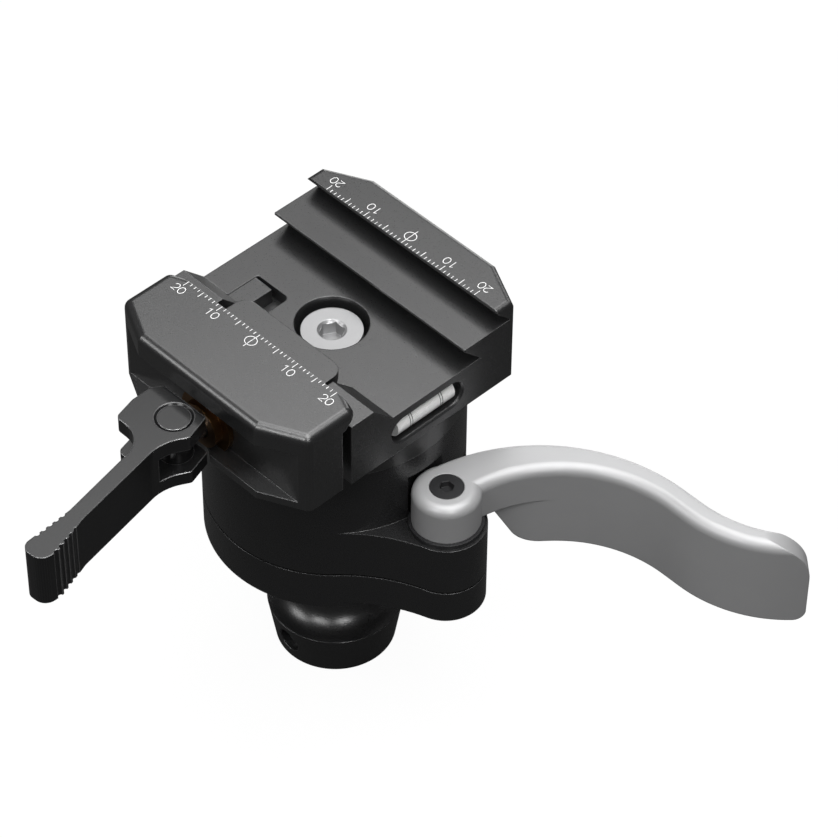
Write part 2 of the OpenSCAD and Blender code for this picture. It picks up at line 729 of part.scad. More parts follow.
module lock_lever() {
    start = [ear_x - 3.3, 0.6];
    ease = 6.6;
    lean = 62.6;
    toe = [19.8, ease];
    heel = toe - ease * [sin(lean), cos(lean)];
    rise = hub_z - blade_z;
    scoop_r = 45;
    scoop_at = f1c + unit([-19.3, 18.5]) * f1r;
    scoop_c = scoop_at + unit(f1c - scoop_at) * scoop_r;
    color(silver) difference() {
        union() {
            lever_band();
            translate([ear_x, 0, hub_z]) rotate_extrude() union() {
                square([hub_r, bar_h - lever_r]);
                square([hub_r - lever_r, bar_h]);
                translate([hub_r - lever_r, bar_h - lever_r]) circle(lever_r);
            }
        }
        // The blade starts clear of the ear, leaning and with a rounded lower corner
        translate([start[0], start[1], blade_z]) rotate_extrude()
            polygon(concat([[0, rise], [0, -1], [toe[0], -1]], arc(toe, ease, 270, 270 - lean, 16),
                [heel + (rise - heel[1]) / tan(lean) * [-1, tan(lean)]]));
        // Set-back of the blade under the bar
        intersection() {
            translate([scoop_c[0], scoop_c[1], blade_z - 1]) cylinder(r = scoop_r, h = hub_z - blade_z + 1);
            zone([scoop_at, f1c, [f1c[0] + 0.3, -30], [15, -30], [15, scoop_at[1]]]);
        }
        // Bolt socket and screw seat
        translate([ear_x, 0, hub_z - 1]) cylinder(r = bolt_r, h = 7);
        translate([ear_x, 0, hub_z]) cylinder(r = 1.5, h = 20);
        translate([ear_x, 0, hub_top - 2]) cylinder(r = 3.25, h = 3);
    }
}

module lever_screw() {
    color(black) difference() {
        union() {
            translate([ear_x, 0, hub_top - 2]) cylinder(r = 3.14, h = 1.95);
            translate([ear_x, 0, hub_z + 3]) cylinder(r = 1.5, h = hub_top - hub_z - 4.5);
        }
        translate([ear_x, 0, hub_top - 1.4]) cylinder(r = 1.45, h = 3, $fn = 6);
    }
}

module clamp_bolt() {
    color(steel) difference() {
        translate([ear_x, 0, low_z + 1.5]) cylinder(r = bolt_r, h = hub_z + 6 - low_z - 1.5);
        translate([ear_x, 0, hub_z + 3]) cylinder(r = 1.5, h = 10);
    }
}

module recoil_stop() {
    color(steel) translate([stop_x0, stop_y0, floor_z - stop_h])
        cube([stop_x1 - stop_x0, stop_y1 - stop_y0, stop_h]);
}

ball_stem();
base_collar();
collar_set_screw();
pressure_cup();
lower_seat();
housing();
lower_cover();
cover_screws();
thrust_washer();
clamp_base();
clamp_screw();
locating_pins();
vial_bed();
level_vial();
level_liquid();
draw_rod();
barrel_nut();
guide_pins();
jaw_springs();
sliding_jaw();
cam_saddle();
clamp_lever();
lock_lever();
lever_screw();
clamp_bolt();
recoil_stop();
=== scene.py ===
"""Looks of a ball head with a lever clamp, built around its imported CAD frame.

The CAD nodes carry the shapes. This file gives them their finishes, adds the painted
scales, the level's rings and the foot's thread, and sets the studio.
Lengths in the size fields are in millimetres; meshes and the studio are in metres.
"""

import json  # noqa: E402
import logging  # noqa: E402
import math  # noqa: E402
from abc import ABC, abstractmethod  # noqa: E402
from dataclasses import dataclass, field  # noqa: E402
from enum import Enum  # noqa: E402
from typing import Any, Callable, Sequence, Union  # noqa: E402

import bmesh  # noqa: E402
import bpy  # noqa: E402
from mathutils import Matrix, Vector  # noqa: E402

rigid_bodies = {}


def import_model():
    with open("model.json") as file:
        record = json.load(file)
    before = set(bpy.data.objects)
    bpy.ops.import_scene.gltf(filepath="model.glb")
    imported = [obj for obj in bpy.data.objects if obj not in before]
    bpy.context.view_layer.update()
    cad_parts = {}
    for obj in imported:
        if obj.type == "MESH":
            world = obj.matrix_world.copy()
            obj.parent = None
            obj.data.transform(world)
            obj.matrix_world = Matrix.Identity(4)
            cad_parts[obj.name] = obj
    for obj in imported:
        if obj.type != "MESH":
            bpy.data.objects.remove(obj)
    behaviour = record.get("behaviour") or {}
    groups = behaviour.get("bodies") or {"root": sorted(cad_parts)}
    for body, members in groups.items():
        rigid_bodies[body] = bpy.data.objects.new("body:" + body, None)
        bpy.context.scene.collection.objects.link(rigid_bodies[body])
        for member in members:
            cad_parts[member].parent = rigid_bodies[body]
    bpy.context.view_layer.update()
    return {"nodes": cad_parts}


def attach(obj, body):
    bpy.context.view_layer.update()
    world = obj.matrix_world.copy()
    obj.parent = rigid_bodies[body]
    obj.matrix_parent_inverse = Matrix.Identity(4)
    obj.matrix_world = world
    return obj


LOG = logging.getLogger("ball_head")
MM = 0.001
EDGE_SAMPLES = 6
# Distance between the rings of a wave texture of scale 1: a full turn in radians over 20.
WAVE_RING = 0.314

Pair = tuple[float, float]
Triple = tuple[float, float, float]
Colour = Triple
Socket = bpy.types.NodeSocket
Value = Union[Socket, float, tuple[float, ...]]

UPWARD = Vector((0.0, 0.0, 1.0))


class Body(Enum):
    """CAD bodies that new pieces ride on."""

    FOOT = "foot"
    HEAD = "head"
    JAW = "jaw"


class Slot(Enum):
    """The record's material slots, handed to new pieces but not used by them."""

    ANODISED = "anodised"
    WHITE = "vial_white"


# ---------------------------------------------------------------- shading


def shade(tone: Colour, share: float) -> Colour:
    """Makes a colour darker or lighter.

    Args:
        tone: The colour.
        share: What each of its parts is multiplied by.

    Returns:
        The new colour.
    """
    red, green, blue = tone
    return share * red, share * green, share * blue


class Bench:
    """A material's node tree with short ways to add and join nodes."""

    def __init__(self, name: str) -> None:
        """Starts an empty material.

        Args:
            name: The material's name.
        """
        self.material = bpy.data.materials.new(name)
        self.material.use_nodes = True
        self.tree = self.material.node_tree
        self.tree.nodes.clear()
        self.output = self.add("ShaderNodeOutputMaterial")
        self._place: Socket | None = None

    def add(self, kind: str, **settings: Any) -> bpy.types.Node:
        """Adds a node.

        Args:
            kind: The node's type.
            settings: Values set on the node itself.

        Returns:
            The new node.
        """
        node = self.tree.nodes.new(kind)
        for key, value in settings.items():
            setattr(node, key, value)
        return node

    def feed(self, socket: Socket, value: Value) -> None:
        """Links an output to an input socket, or sets the socket's constant.

        Args:
            socket: The input socket.
            value: An output socket, a number or a tuple.
        """
        if isinstance(value, bpy.types.NodeSocket):
            self.tree.links.new(value, socket)
        else:
            socket.default_value = value

    def place(self) -> Socket:
        """Gives the object coordinates, shared by all textures of the material.

        Returns:
            The coordinates' output.
        """
        if self._place is None:
            self._place = self.add("ShaderNodeTexCoord").outputs["Object"]
        return self._place

    def noise(self, cells: float, detail: float = 2.0) -> Socket:
        """Adds noise on the object coordinates.

        Args:
            cells: Noise cells to the metre.
            detail: Octaves.

        Returns:
            The noise value's output.
        """
        node = self.add("ShaderNodeTexNoise")
        self.feed(node.inputs["Vector"], self.place())
        node.inputs["Scale"].default_value = cells
        node.inputs["Detail"].default_value = detail
        return node.outputs["Fac"]

    def spread(self, value: Socket, low: Value, high: Value) -> Socket:
        """Maps a value from 0..1 to a range.

        Args:
            value: The output to map.
            low: Result at 0, an output or a number.
            high: Result at 1, an output or a number.

        Returns:
            The mapped output.
        """
        node = self.add("ShaderNodeMapRange")
        self.feed(node.inputs["Value"], value)
        self.feed(node.inputs["To Min"], low)
        self.feed(node.inputs["To Max"], high)
        return node.outputs["Result"]

    def ramp(self, value: Socket, start: float, end: float) -> Socket:
        """Maps a range to 0..1.

        Args:
            value: The output to map.
            start: The value that gives 0.
            end: The value that gives 1.

        Returns:
            The mapped output.
        """
        node = self.add("ShaderNodeMapRange")
        self.feed(node.inputs["Value"], value)
        node.inputs["From Min"].default_value = start
        node.inputs["From Max"].default_value = end
        return node.outputs["Result"]

    def tint(self, value: Socket, dark: Value, light: Value) -> Socket:
        """Mixes two colours.

        Args:
            value: The output that mixes them.
            dark: Colour at 0, or an output that gives it.
            light: Colour at 1, or an output that gives it.

        Returns:
            The colour output.
        """
        node = self.add("ShaderNodeMix", data_type="RGBA")
        self.feed(node.inputs["Factor"], value)
        for socket, colour in ((node.inputs[6], dark), (node.inputs[7], light)):
            self.feed(socket, (*colour, 1.0) if isinstance(colour, tuple) else colour)
        return node.outputs[2]

    def math(self, operation: str, *values: Value) -> Socket:
        """Adds a math node.

        Args:
            operation: What it works out.
            values: Its outputs or numbers, in order.

        Returns:
            The result's output.
        """
        node = self.add("ShaderNodeMath", operation=operation)
        for socket, value in zip(node.inputs, values):
            self.feed(socket, value)
        return node.outputs["Value"]

    def clear_of(self, height: float, reach: float, core: float = 0.6) -> Socket:
        """Measures how far a point is above or below a level joint.

        Args:
            height: Height of the joint in millimetres.
            reach: Distance that counts as clear of it, in millimetres.
            core: Share of the reach that counts as in the joint.

        Returns:
            An output from 0 in the joint to 1 clear of it.
        """
        split = self.add("ShaderNodeSeparateXYZ")
        self.feed(split.inputs["Vector"], self.place())
        above = self.math("SUBTRACT", split.outputs["Z"], height * MM)
        return self.ramp(self.math("ABSOLUTE", above), core * reach * MM, reach * MM)

    def rounded(self, radius: float) -> Socket:
        """Adds the normal that rounds sharp edges.

        Args:
            radius: Edge radius in millimetres.

        Returns:
            The normal output.
        """
        node = self.add("ShaderNodeBevel", samples=EDGE_SAMPLES)
        node.inputs["Radius"].default_value = radius * MM
        return node.outputs["Normal"]

    def bump(self, height: Socket, depth: float, normal: Socket) -> Socket:
        """Adds a bump.

        Args:
            height: The height output.
            depth: Depth in millimetres.
            normal: The normal to start from.

        Returns:
            The normal output.
        """
        node = self.add("ShaderNodeBump")
        self.feed(node.inputs["Height"], height)
        node.inputs["Strength"].default_value = 1.0
        node.inputs["Distance"].default_value = depth * MM
        self.feed(node.inputs["Normal"], normal)
        return node.outputs["Normal"]

    def edges(self, normal: Socket, lean: float) -> Socket:
        """Measures how far a rounded normal leans from the face.

        Args:
            normal: The rounded normal.
            lean: Lean that counts as a full edge.

        Returns:
            An output from 0 on faces to 1 on edges.
        """
        face = self.add("ShaderNodeNewGeometry").outputs["Normal"]
        dot = self.add("ShaderNodeVectorMath", operation="DOT_PRODUCT")
        self.feed(dot.inputs[0], normal)
        self.feed(dot.inputs[1], face)
        return self.ramp(dot.outputs["Value"], 1.0, 1.0 - lean)

    def surface(self, **sockets: Value) -> bpy.types.Material:
        """Ends the tree in a Principled shader.

        Args:
            sockets: Values by socket name, with underscores for spaces.

        Returns:
            The finished material.
        """
        shader = self.add("ShaderNodeBsdfPrincipled")
        for key, value in sockets.items():
            if isinstance(value, tuple):
                value = (*value, 1.0)
            self.feed(shader.inputs[key.replace("_", " ")], value)
        self.tree.links.new(shader.outputs["BSDF"], self.output.inputs["Surface"])
        return self.material


@dataclass(frozen=True)
class Finish(ABC):
    """A surface finish that builds its own material.

    Attributes:
        name: The material's name.
    """

    name: str

    @abstractmethod
    def build(self) -> bpy.types.Material:
        """Returns the finish as a new material."""


@dataclass(frozen=True)
class Anodised(Finish):
    """Bead-blasted and anodised aluminium.

    Attributes:
        tone: Colour of the faces.
        edge_wear_and_highlight_tone: Colour of the edges, lighter than the faces: a painted
            highlight along every rounded edge, partly also wear to bare metal.
        roughness: Middle roughness.
        edge: Edge radius.
        grain: Depth of the blasted grain.
        shine: Strength of its highlights, 0.5 for a plain coat.
        spread: How far the roughness varies with the grain.
        worn: Share of the roughness that is left on the edges.
        bare: Share of the edges that shines as bare metal.
        joint: Height and reach of a level joint that is painted black as shade in the seam and
            left dull, if there is one.
        index: Refractive index of the coat.
        cells: Grains to the metre.
        clouds: Cloudy patches to the metre.
        mottle: Darkest and lightest share of the tone in the patches.
        lean: Lean of the normal that counts as a full edge.
    """

    tone: Colour = (0.009, 0.0091, 0.0094)
    edge_wear_and_highlight_tone: Colour = (0.1, 0.1, 0.102)
    roughness: float = 0.32
    edge: float = 0.3
    grain: float = 0.011
    shine: float = 0.5
    spread: float = 0.13
    worn: float = 0.55
    bare: float = 0.6
    joint: Pair | None = None
    index: float = 1.8
    cells: float = 4500.0
    clouds: float = 180.0
    mottle: Pair = (0.9, 1.1)
    lean: float = 0.35

    def build(self) -> bpy.types.Material:
        """Builds the anodised material.

        Returns:
            The material.
        """
        bench = Bench(self.name)
        soft = bench.rounded(self.edge)
        edge = bench.edges(soft, self.lean)
        cloud = bench.noise(self.clouds)
        grain = bench.noise(self.cells)
        dark, light = (shade(self.tone, share) for share in self.mottle)
        # The edges are tinted towards a lighter colour: a painted highlight along every rounded
        # edge, partly also wear.
        colour = bench.tint(edge, bench.tint(cloud, dark, light), self.edge_wear_and_highlight_tone)
        rough = bench.spread(grain, self.roughness - self.spread, self.roughness + self.spread)
        rough = bench.math("MULTIPLY", rough, bench.spread(edge, 1.0, self.worn))
        if self.joint is not None:
            clear = bench.clear_of(*self.joint)
            # Round a level joint the colour goes to black: painted shade in the seam. The joint
            # is also left fully rough.
            colour = bench.tint(clear, (0.0, 0.0, 0.0), colour)
            rough = bench.spread(clear, 1.0, rough)
        return bench.surface(
            Base_Color=colour,
            Metallic=bench.spread(edge, 0.0, self.bare),
            Roughness=rough,
            IOR=self.index,
            Specular_IOR_Level=self.shine,
            Normal=bench.bump(grain, self.grain, soft),
        )


@dataclass(frozen=True)
class Blasted(Finish):
    """Bead-blasted silver alloy.

    Attributes:
        tone: Colour of the metal.
        roughness: Middle roughness.
        spread: How far the roughness varies with the grain.
        metal: Share that shines as bare metal.
        grain: Depth of the grain.
        edge: Edge radius.
        cells: Grains to the metre.
        clouds: Cloudy patches to the metre.
        mottle: Darkest and lightest share of the tone in the patches.
    """

    tone: Colour = (0.345, 0.345, 0.349)
    roughness: float = 0.42
    spread: float = 0.06
    metal: float = 0.28
    grain: float = 0.006
    edge: float = 0.35
    cells: float = 5500.0
    clouds: float = 140.0
    mottle: Pair = (0.96, 1.03)

    def build(self) -> bpy.types.Material:
        """Builds the blasted material.

        Returns:
            The material.
        """
        bench = Bench(self.name)
        grain = bench.noise(self.cells)
        cloud = bench.noise(self.clouds)
        dark, light = (shade(self.tone, share) for share in self.mottle)
        return bench.surface(
            Base_Color=bench.tint(cloud, dark, light),
            Metallic=self.metal,
            Roughness=bench.spread(
                grain, self.roughness - self.spread, self.roughness + self.spread
            ),
            Normal=bench.bump(grain, self.grain, bench.rounded(self.edge)),
        )


@dataclass(frozen=True)
class Turned(Finish):
    """Turned metal with fine rings round the frame's upright axis.

    Attributes:
        tone: Colour of the metal.
        roughness: Middle roughness.
        spread: How far the roughness falls and rises with the grain.
        pitch: Distance between the rings.
        depth: Depth of the rings.
        wobble: How far the rings run out of true.
        edge: Edge radius.
        metal: Share that shines as bare metal.
        cells: Grains to the metre.
        dull: Darkest share of the tone in the grain.
    """

    tone: Colour = (0.35, 0.35, 0.354)
    roughness: float = 0.42
    spread: Pair = (0.05, 0.06)
    pitch: float = 0.18
    depth: float = 0.0012
    wobble: float = 0.4
    edge: float = 0.15
    metal: float = 0.4
    cells: float = 4000.0
    dull: float = 0.93

    def build(self) -> bpy.types.Material:
        """Builds the turned material.

        Returns:
            The material.
        """
        bench = Bench(self.name)
        wave = bench.add("ShaderNodeTexWave", wave_type="RINGS", rings_direction="Z")
        bench.feed(wave.inputs["Vector"], bench.place())
        wave.inputs["Scale"].default_value = WAVE_RING / (self.pitch * MM)
        wave.inputs["Distortion"].default_value = self.wobble
        grain = bench.noise(self.cells)
        fall, rise = self.spread
        return bench.surface(
            Base_Color=bench.tint(grain, shade(self.tone, self.dull), self.tone),
            Metallic=self.metal,
            Roughness=bench.spread(grain, self.roughness - fall, self.roughness + rise),
            Normal=bench.bump(wave.outputs["Fac"], self.depth, bench.rounded(self.edge)),
        )


@dataclass(frozen=True)
class Satin(Finish):
    """A plain satin finish for polymer, paint or small metal parts.

    Attributes:
        tone: Colour.
        roughness: Middle roughness.
        metal: Metallic share.
        spread: How far the roughness varies with the grain.
        grain: Depth of the grain.
        edge: Edge radius.
        cells: Grains to the metre.
        dull: Darkest share of the tone in the grain.
    """

    tone: Colour
    roughness: float = 0.5
    metal: float = 0.0
    spread: float = 0.05
    grain: float = 0.002
    edge: float = 0.12
    cells: float = 6000.0
    dull: float = 0.95

    def build(self) -> bpy.types.Material:
        """Builds the satin material.

        Returns:
            The material.
        """
        bench = Bench(self.name)
        grain = bench.noise(self.cells)
        return bench.surface(
            Base_Color=bench.tint(grain, shade(self.tone, self.dull), self.tone),
            Metallic=self.metal,
            Roughness=bench.spread(
                grain, self.roughness - self.spread, self.roughness + self.spread
            ),
            Normal=bench.bump(grain, self.grain, bench.rounded(self.edge)),
        )


@dataclass(frozen=True)
class Clear(Finish):
    """Clear or frosted glass, or liquid.

    Attributes:
        tone: Tint.
        index: Refractive index.
        roughness: Middle roughness.
        share: Share of the light that goes through; the rest is scattered.
        spread: Least and greatest share of the roughness in the haze.
        cells: Patches of haze to the metre.
    """

    tone: Colour
    index: float
    roughness: float = 0.03
    share: float = 1.0
    spread: Pair = (0.6, 1.4)
    cells: float = 900.0

    def build(self) -> bpy.types.Material:
        """Builds the clear material.

        Returns:
            The material.
        """
        bench = Bench(self.name)
        haze = bench.noise(self.cells, detail=1.0)
        least, most = (self.roughness * share for share in self.spread)
        return bench.surface(
            Base_Color=self.tone,
            Roughness=bench.spread(haze, least, most),
            Transmission_Weight=self.share,
            IOR=self.index,
        )


class Palette:
    """Finishes that are built once and shared."""

    def __init__(self) -> None:
        """Starts an empty palette."""
        self._made: dict[str, bpy.types.Material] = {}

    def get(self, finish: Finish) -> bpy.types.Material:
        """Gives a finish's material, built on first use.

        Args:
            finish: The finish.

        Returns:
            The material.
        """
        if finish.name not in self._made:
            self._made[finish.name] = finish.build()
        return self._made[finish.name]


# Height of the seam between housing and lower cover, and how far round it the body is painted
# black as shade in the seam and left dull.
SEAM_SHADE = (42.15, 0.25)

BLACK = Anodised("black_anodised")
BODY = Anodised(
    "black_body",
    tone=(0.011, 0.011, 0.0114),
    roughness=0.3,
    edge=0.2,
    shine=0.25,
    bare=0.4,
    joint=SEAM_SHADE,
)
# The cam lever's edges are painted a light grey that shines as bare metal: a painted highlight
# along its rounded edges.
GLOSS = Anodised(
    "black_gloss",
    edge_wear_and_highlight_tone=(0.4, 0.4, 0.404),
    roughness=0.2,
    edge=0.35,
    grain=0.0008,
    shine=0.17,
    spread=0.03,
    bare=1.0,
)
SILVER = Blasted("silver_blasted")
BRIGHT = Turned("bright_screw", metal=0.7, roughness=0.34)
STEEL = Satin("plain_steel", (0.56, 0.56, 0.57), roughness=0.3, metal=1.0)
DARK = Satin("black_oxide", (0.015, 0.015, 0.016), roughness=0.32)
# The brass is painted dark: painted shade standing in for the deep shade under the jaw's cap.
SHADED_BRASS = Satin("brass", (0.15, 0.08, 0.03), roughness=0.35, metal=1.0)
LINING = Satin("acetal", (0.62, 0.61, 0.57))
WHITE = Satin("white_paint", (0.9, 0.9, 0.9), roughness=0.55)
INK = Satin("black_ink", (0.012, 0.012, 0.012))
GLASS = Clear("vial_frosted", (0.9, 0.9, 0.89), index=1.47, roughness=0.25, share=0.05)
SPIRIT = Clear("vial_spirit", (0.90, 0.95, 0.84), index=1.36)


# ---------------------------------------------------------------- meshes


class Piece:
    """A new mesh in the frame, made with bmesh and handed to a body."""

    def __init__(self, name: str) -> None:
        """Starts an empty mesh.

        Args:
            name: The piece's name.
        """
        self.name = name
        self.bm = bmesh.new()

    def box(self, low: Triple, high: Triple) -> None:
        """Adds a box.

        Args:
            low: Lowest corner in millimetres.
            high: Highest corner in millimetres.
        """
        a, b = Vector(low) * MM, Vector(high) * MM
        matrix = Matrix.Translation((a + b) / 2) @ Matrix.Diagonal((*(b - a), 1.0))
        bmesh.ops.create_cube(self.bm, size=1.0, matrix=matrix)

    def lathe(
        self, profile: Sequence[Pair], at: Vector, axis: Vector, steps: int = 48
    ) -> None:
        """Adds a closed ring by spinning a closed profile.

        Args:
            profile: Points (radius, height) in millimetres.
            at: The axis point in millimetres.
            axis: The axis direction.
            steps: Steps of the full turn.
        """
        turn = axis.to_track_quat("Z", "X").to_matrix()
        verts = [
            self.bm.verts.new((at + turn @ Vector((r, 0.0, h))) * MM) for r, h in profile
        ]
        edges = [
            self.bm.edges.new(ends) for ends in zip(verts, verts[1:] + verts[:1])
        ]
        bmesh.ops.spin(
            self.bm,
            geom=verts + edges,
            cent=at * MM,
            axis=axis,
            angle=2 * math.pi,
            steps=steps,
            use_merge=True,
        )

    def helix(
        self,
        at: Vector,
        radius: float,
        pitch: float,
        turns: float,
        profile: Sequence[Pair],
        steps: int = 24,
    ) -> None:
        """Adds a closed profile swept up an upright helix.

        Args:
            at: Start of the axis in millimetres.
            radius: Helix radius in millimetres.
            pitch: Rise of one turn in millimetres.
            turns: Number of turns.
            profile: Points (outward, up) from the helix in millimetres.
            steps: Steps of one turn.
        """
        verts = [
            self.bm.verts.new((at + Vector((radius + r, 0.0, h))) * MM) for r, h in profile
        ]
        face = self.bm.faces.new(verts)
        bmesh.ops.spin(
            self.bm,
            geom=[face, *face.edges, *verts],
            cent=at * MM,
            axis=UPWARD,
            dvec=UPWARD * (pitch / steps * MM),
            angle=2 * math.pi * turns,
            steps=round(turns * steps),
        )

    def tube(self, rings: Sequence[Sequence[Any]], closed: bool) -> None:
        """Adds the faces of a tube through rings of vertices.

        Args:
            rings: The rings, all with the same number of vertices.
            closed: Whether the last ring joins the first; if not, both ends are capped.
        """
        pairs = list(zip(rings, rings[1:]))
        if closed:
            pairs.append((rings[-1], rings[0]))
        else:
            self.bm.faces.new(rings[0])
            self.bm.faces.new(rings[-1])
        for one, two in pairs:
            for k in range(len(one)):
                after = (k + 1) % len(one)
                self.bm.faces.new((one[k], one[after], two[after], two[k]))

    def ribbon(
        self, line: Sequence[Vector], width: float, thick: float, closed: bool = False
    ) -> None:
        """Adds a flat painted stroke along a line in the XY plane.

        Args:
            line: Points in millimetres, on the painted face.
            width: Width of the stroke in millimetres.
            thick: Thickness of the paint in millimetres.
            closed: Whether the last point joins the first.
        """
        count = len(line)
        rise = UPWARD * thick
        rings = []
        for i, point in enumerate(line):
            before = line[i - 1] if closed or i else point
            after = line[(i + 1) % count] if closed or i + 1 < count else point
            one, two = (point - before).normalized(), (after - point).normalized()
            way = (one + two).normalized()
            mitre = 1.0 / max(0.5, way.dot(two if two.length else one))
            side = Vector((-way.y, way.x, 0.0)) * (width / 2 * mitre)
            low = (point + side, point - side)
            high = (point - side + rise, point + side + rise)
            rings.append([self.bm.verts.new(corner * MM) for corner in low + high])
        self.tube(rings, closed)

    def finish(self, material: bpy.types.Material, body: Body, slot: Slot | None) -> None:
        """Turns the mesh into an object on a body.

        Args:
            material: The piece's material.
            body: The body it rides on.
            slot: Not used.
        """
        bmesh.ops.recalc_face_normals(self.bm, faces=self.bm.faces)
        mesh = bpy.data.meshes.new(self.name)
        self.bm.to_mesh(mesh)
        self.bm.free()
        mesh.materials.append(material)
        obj = bpy.data.objects.new(self.name, mesh)
        bpy.context.scene.collection.objects.link(obj)
        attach(obj, body.value)
        LOG.info("%s: %d faces on %s", self.name, len(mesh.polygons), body.value)


# ---------------------------------------------------------------- assemblies


@dataclass
class Assembly(ABC):
    """A sub-assembly: CAD nodes that are dressed, and pieces that are added.

    Attributes:
        nodes: The CAD objects by name.
        palette: The shared finishes.
    """

    nodes: dict[str, bpy.types.Object]
    palette: Palette

    @abstractmethod
    def finishes(self) -> dict[str, Finish]:
        """Returns the finish of each CAD node of the sub-assembly."""

    def add(self) -> None:
        """Adds the pieces that the CAD leaves to the looks."""

    def build(self) -> None:
        """Dresses the CAD nodes and adds the new pieces."""
        for name, finish in self.finishes().items():
            mesh = self.nodes[name].data
            mesh.materials.clear()
            mesh.materials.append(self.palette.get(finish))
        self.add()


@dataclass
class Scale:
    """A millimetre scale painted along a jaw top, numbered both ways from its middle.

    Attributes:
        top: Height of the jaw top.
        lip: Distance of the lip from the middle.
        inset: Distance of the lines from the lip.
        first: Lowest step.
        last: Highest step.
        fifth: Steps from one long line to the next.
        tenth: The step that is numbered between the middle and the ends.
        line: Width of a line.
        short: Length of a plain step.
        long: Length of a fifth step.
        away: Distance of the numbers' middle from the lip.
        zero: Half width and half height of the ring at the middle step.
        zero_lift: How far that ring stands from the numbers towards the lip.
        zero_reach: How far the middle line passes the numbers, in half heights of the ring.
        digit: Half width and half height of a digit.
        flag: Where the flag of a one starts: its X, and its share of the half height.
        tuck: How far a two's half width falls short of the other digits'.
        bow: Start, step in degrees and number of points of a two's bow.
        pair: Distance of a number's two digits from its step.
        paint: Thickness of the paint.
    """

    top: float = 91.5
    lip: float = 17.42
    inset: float = 0.02
    first: int = -19
    last: int = 20
    fifth: int = 5
    tenth: int = 10
    line: float = 0.13
    short: float = 0.68
    long: float = 1.47
    away: float = 2.55
    zero: Pair = (1.2, 1.1)
    zero_lift: float = 0.35
    zero_reach: float = 1.4
    digit: Pair = (0.6, 0.84)
    flag: Pair = (-0.46, 0.6)
    tuck: float = 0.05
    bow: tuple[int, int, int] = (165, -20, 11)
    pair: Pair = (-0.7, 0.8)
    paint: float = 0.02

    def ring(self, half: Pair, steps: int = 32) -> list[Vector]:
        """Draws an ellipse about the origin.

        Args:
            half: Its half width and half height.
            steps: Its number of points.

        Returns:
            The points.
        """
        turns = [2 * math.pi * i / steps for i in range(steps)]
        return [Vector((half[0] * math.cos(t), half[1] * math.sin(t), 0.0)) for t in turns]

    def one(self) -> list[Vector]:
        """Draws the stroke of a one about the origin.

        Returns:
            The points.
        """
        high = self.digit[1]
        points = ((self.flag[0], self.flag[1] * high), (0.0, high), (0.0, -high))
        return [Vector((x, y, 0.0)) for x, y in points]

    def two(self) -> list[Vector]:
        """Draws the stroke of a two about the origin.

        Returns:
            The points.
        """
        wide, high = self.digit[0] - self.tuck, self.digit[1]
        start, step, count = self.bow
        turns = [math.radians(start + step * i) for i in range(count)]
        points = [(wide * math.cos(t), high - wide + wide * math.sin(t)) for t in turns]
        points += [(-wide, -high), (wide, -high)]
        return [Vector((x, y, 0.0)) for x, y in points]

    def length(self, step: int) -> float:
        """Gives the length of a step's line.

        Args:
            step: The step.

        Returns:
            The length.
        """
        if step == 0:
            return self.away + self.zero_reach * self.zero[1]
        return self.long if step % self.fifth == 0 or step == self.first else self.short

    def draw(self, name: str, turned: bool) -> Piece:
        """Draws the scale.

        Args:
            name: The piece's name.
            turned: Whether it is turned half round, for the far jaw.

        Returns:
            The piece with its mesh.
        """
        piece = Piece(name)
        start = -self.lip - self.inset
        for step in range(self.first, self.last + 1):
            piece.box(
                (step - self.line / 2, start - self.length(step), self.top),
                (step + self.line / 2, start, self.top + self.paint),
            )
        row = Vector((0.0, -self.lip - self.away, self.top))
        rings = [(row + Vector((0.0, self.zero_lift, 0.0)), self.zero)]
        for step in (self.first, -self.tenth, self.tenth, self.last):
            left, right = (row + Vector((step + x, 0.0, 0.0)) for x in self.pair)
            stroke = self.one() if abs(step) == self.tenth else self.two()
            piece.ribbon([left + point for point in stroke], self.line, self.paint)
            rings.append((right, self.digit))
        for middle, half in rings:
            loop = [middle + point for point in self.ring(half)]
            piece.ribbon(loop, self.line, self.paint, closed=True)
        if turned:
            half_round = Matrix.Rotation(math.pi, 3, "Z")
            bmesh.ops.rotate(piece.bm, verts=piece.bm.verts, cent=(0, 0, 0), matrix=half_round)
        return piece


@dataclass
class Clamp(Assembly):
    """The fixed half of the clamp with its screw, recoil stop and far scale.

    Attributes:
        scale: The far jaw's scale.
    """

    scale: Scale = field(default_factory=lambda: Scale(short=0.75, long=1.53, away=2.78))

    def finishes(self) -> dict[str, Finish]:
        """Returns the finishes of the clamp's fixed parts."""
        return {
            "clamp_base": BLACK,
            "clamp_screw": BRIGHT,
            "locating_pins": STEEL,
            "recoil_stop": BLACK,
        }

    def add(self) -> None:
        """Paints the far scale."""
        scale = self.scale.draw("far_scale", turned=True)
        scale.finish(self.palette.get(WHITE), Body.HEAD, Slot.WHITE)


@dataclass
class Jaw(Assembly):
    """The sliding jaw with its guides, springs and near scale.

    Attributes:
        scale: The near jaw's scale.
    """

    scale: Scale = field(default_factory=Scale)

    def finishes(self) -> dict[str, Finish]:
        """Returns the finishes of the jaw's parts."""
        return {
            "sliding_jaw": BLACK,
            "guide_pins": STEEL,
            "jaw_springs": STEEL,
            "cam_saddle": SHADED_BRASS,
        }

    def add(self) -> None:
        """Paints the near scale."""
        scale = self.scale.draw("near_scale", turned=False)
        scale.finish(self.palette.get(WHITE), Body.JAW, Slot.WHITE)


@dataclass
class Cam(Assembly):
    """The cam lever, the nut that it turns on and the rod that it pulls."""

    def finishes(self) -> dict[str, Finish]:
        """Returns the finishes of the cam lever's parts."""
        return {"clamp_lever": GLOSS, "barrel_nut": GLOSS, "draw_rod": STEEL}


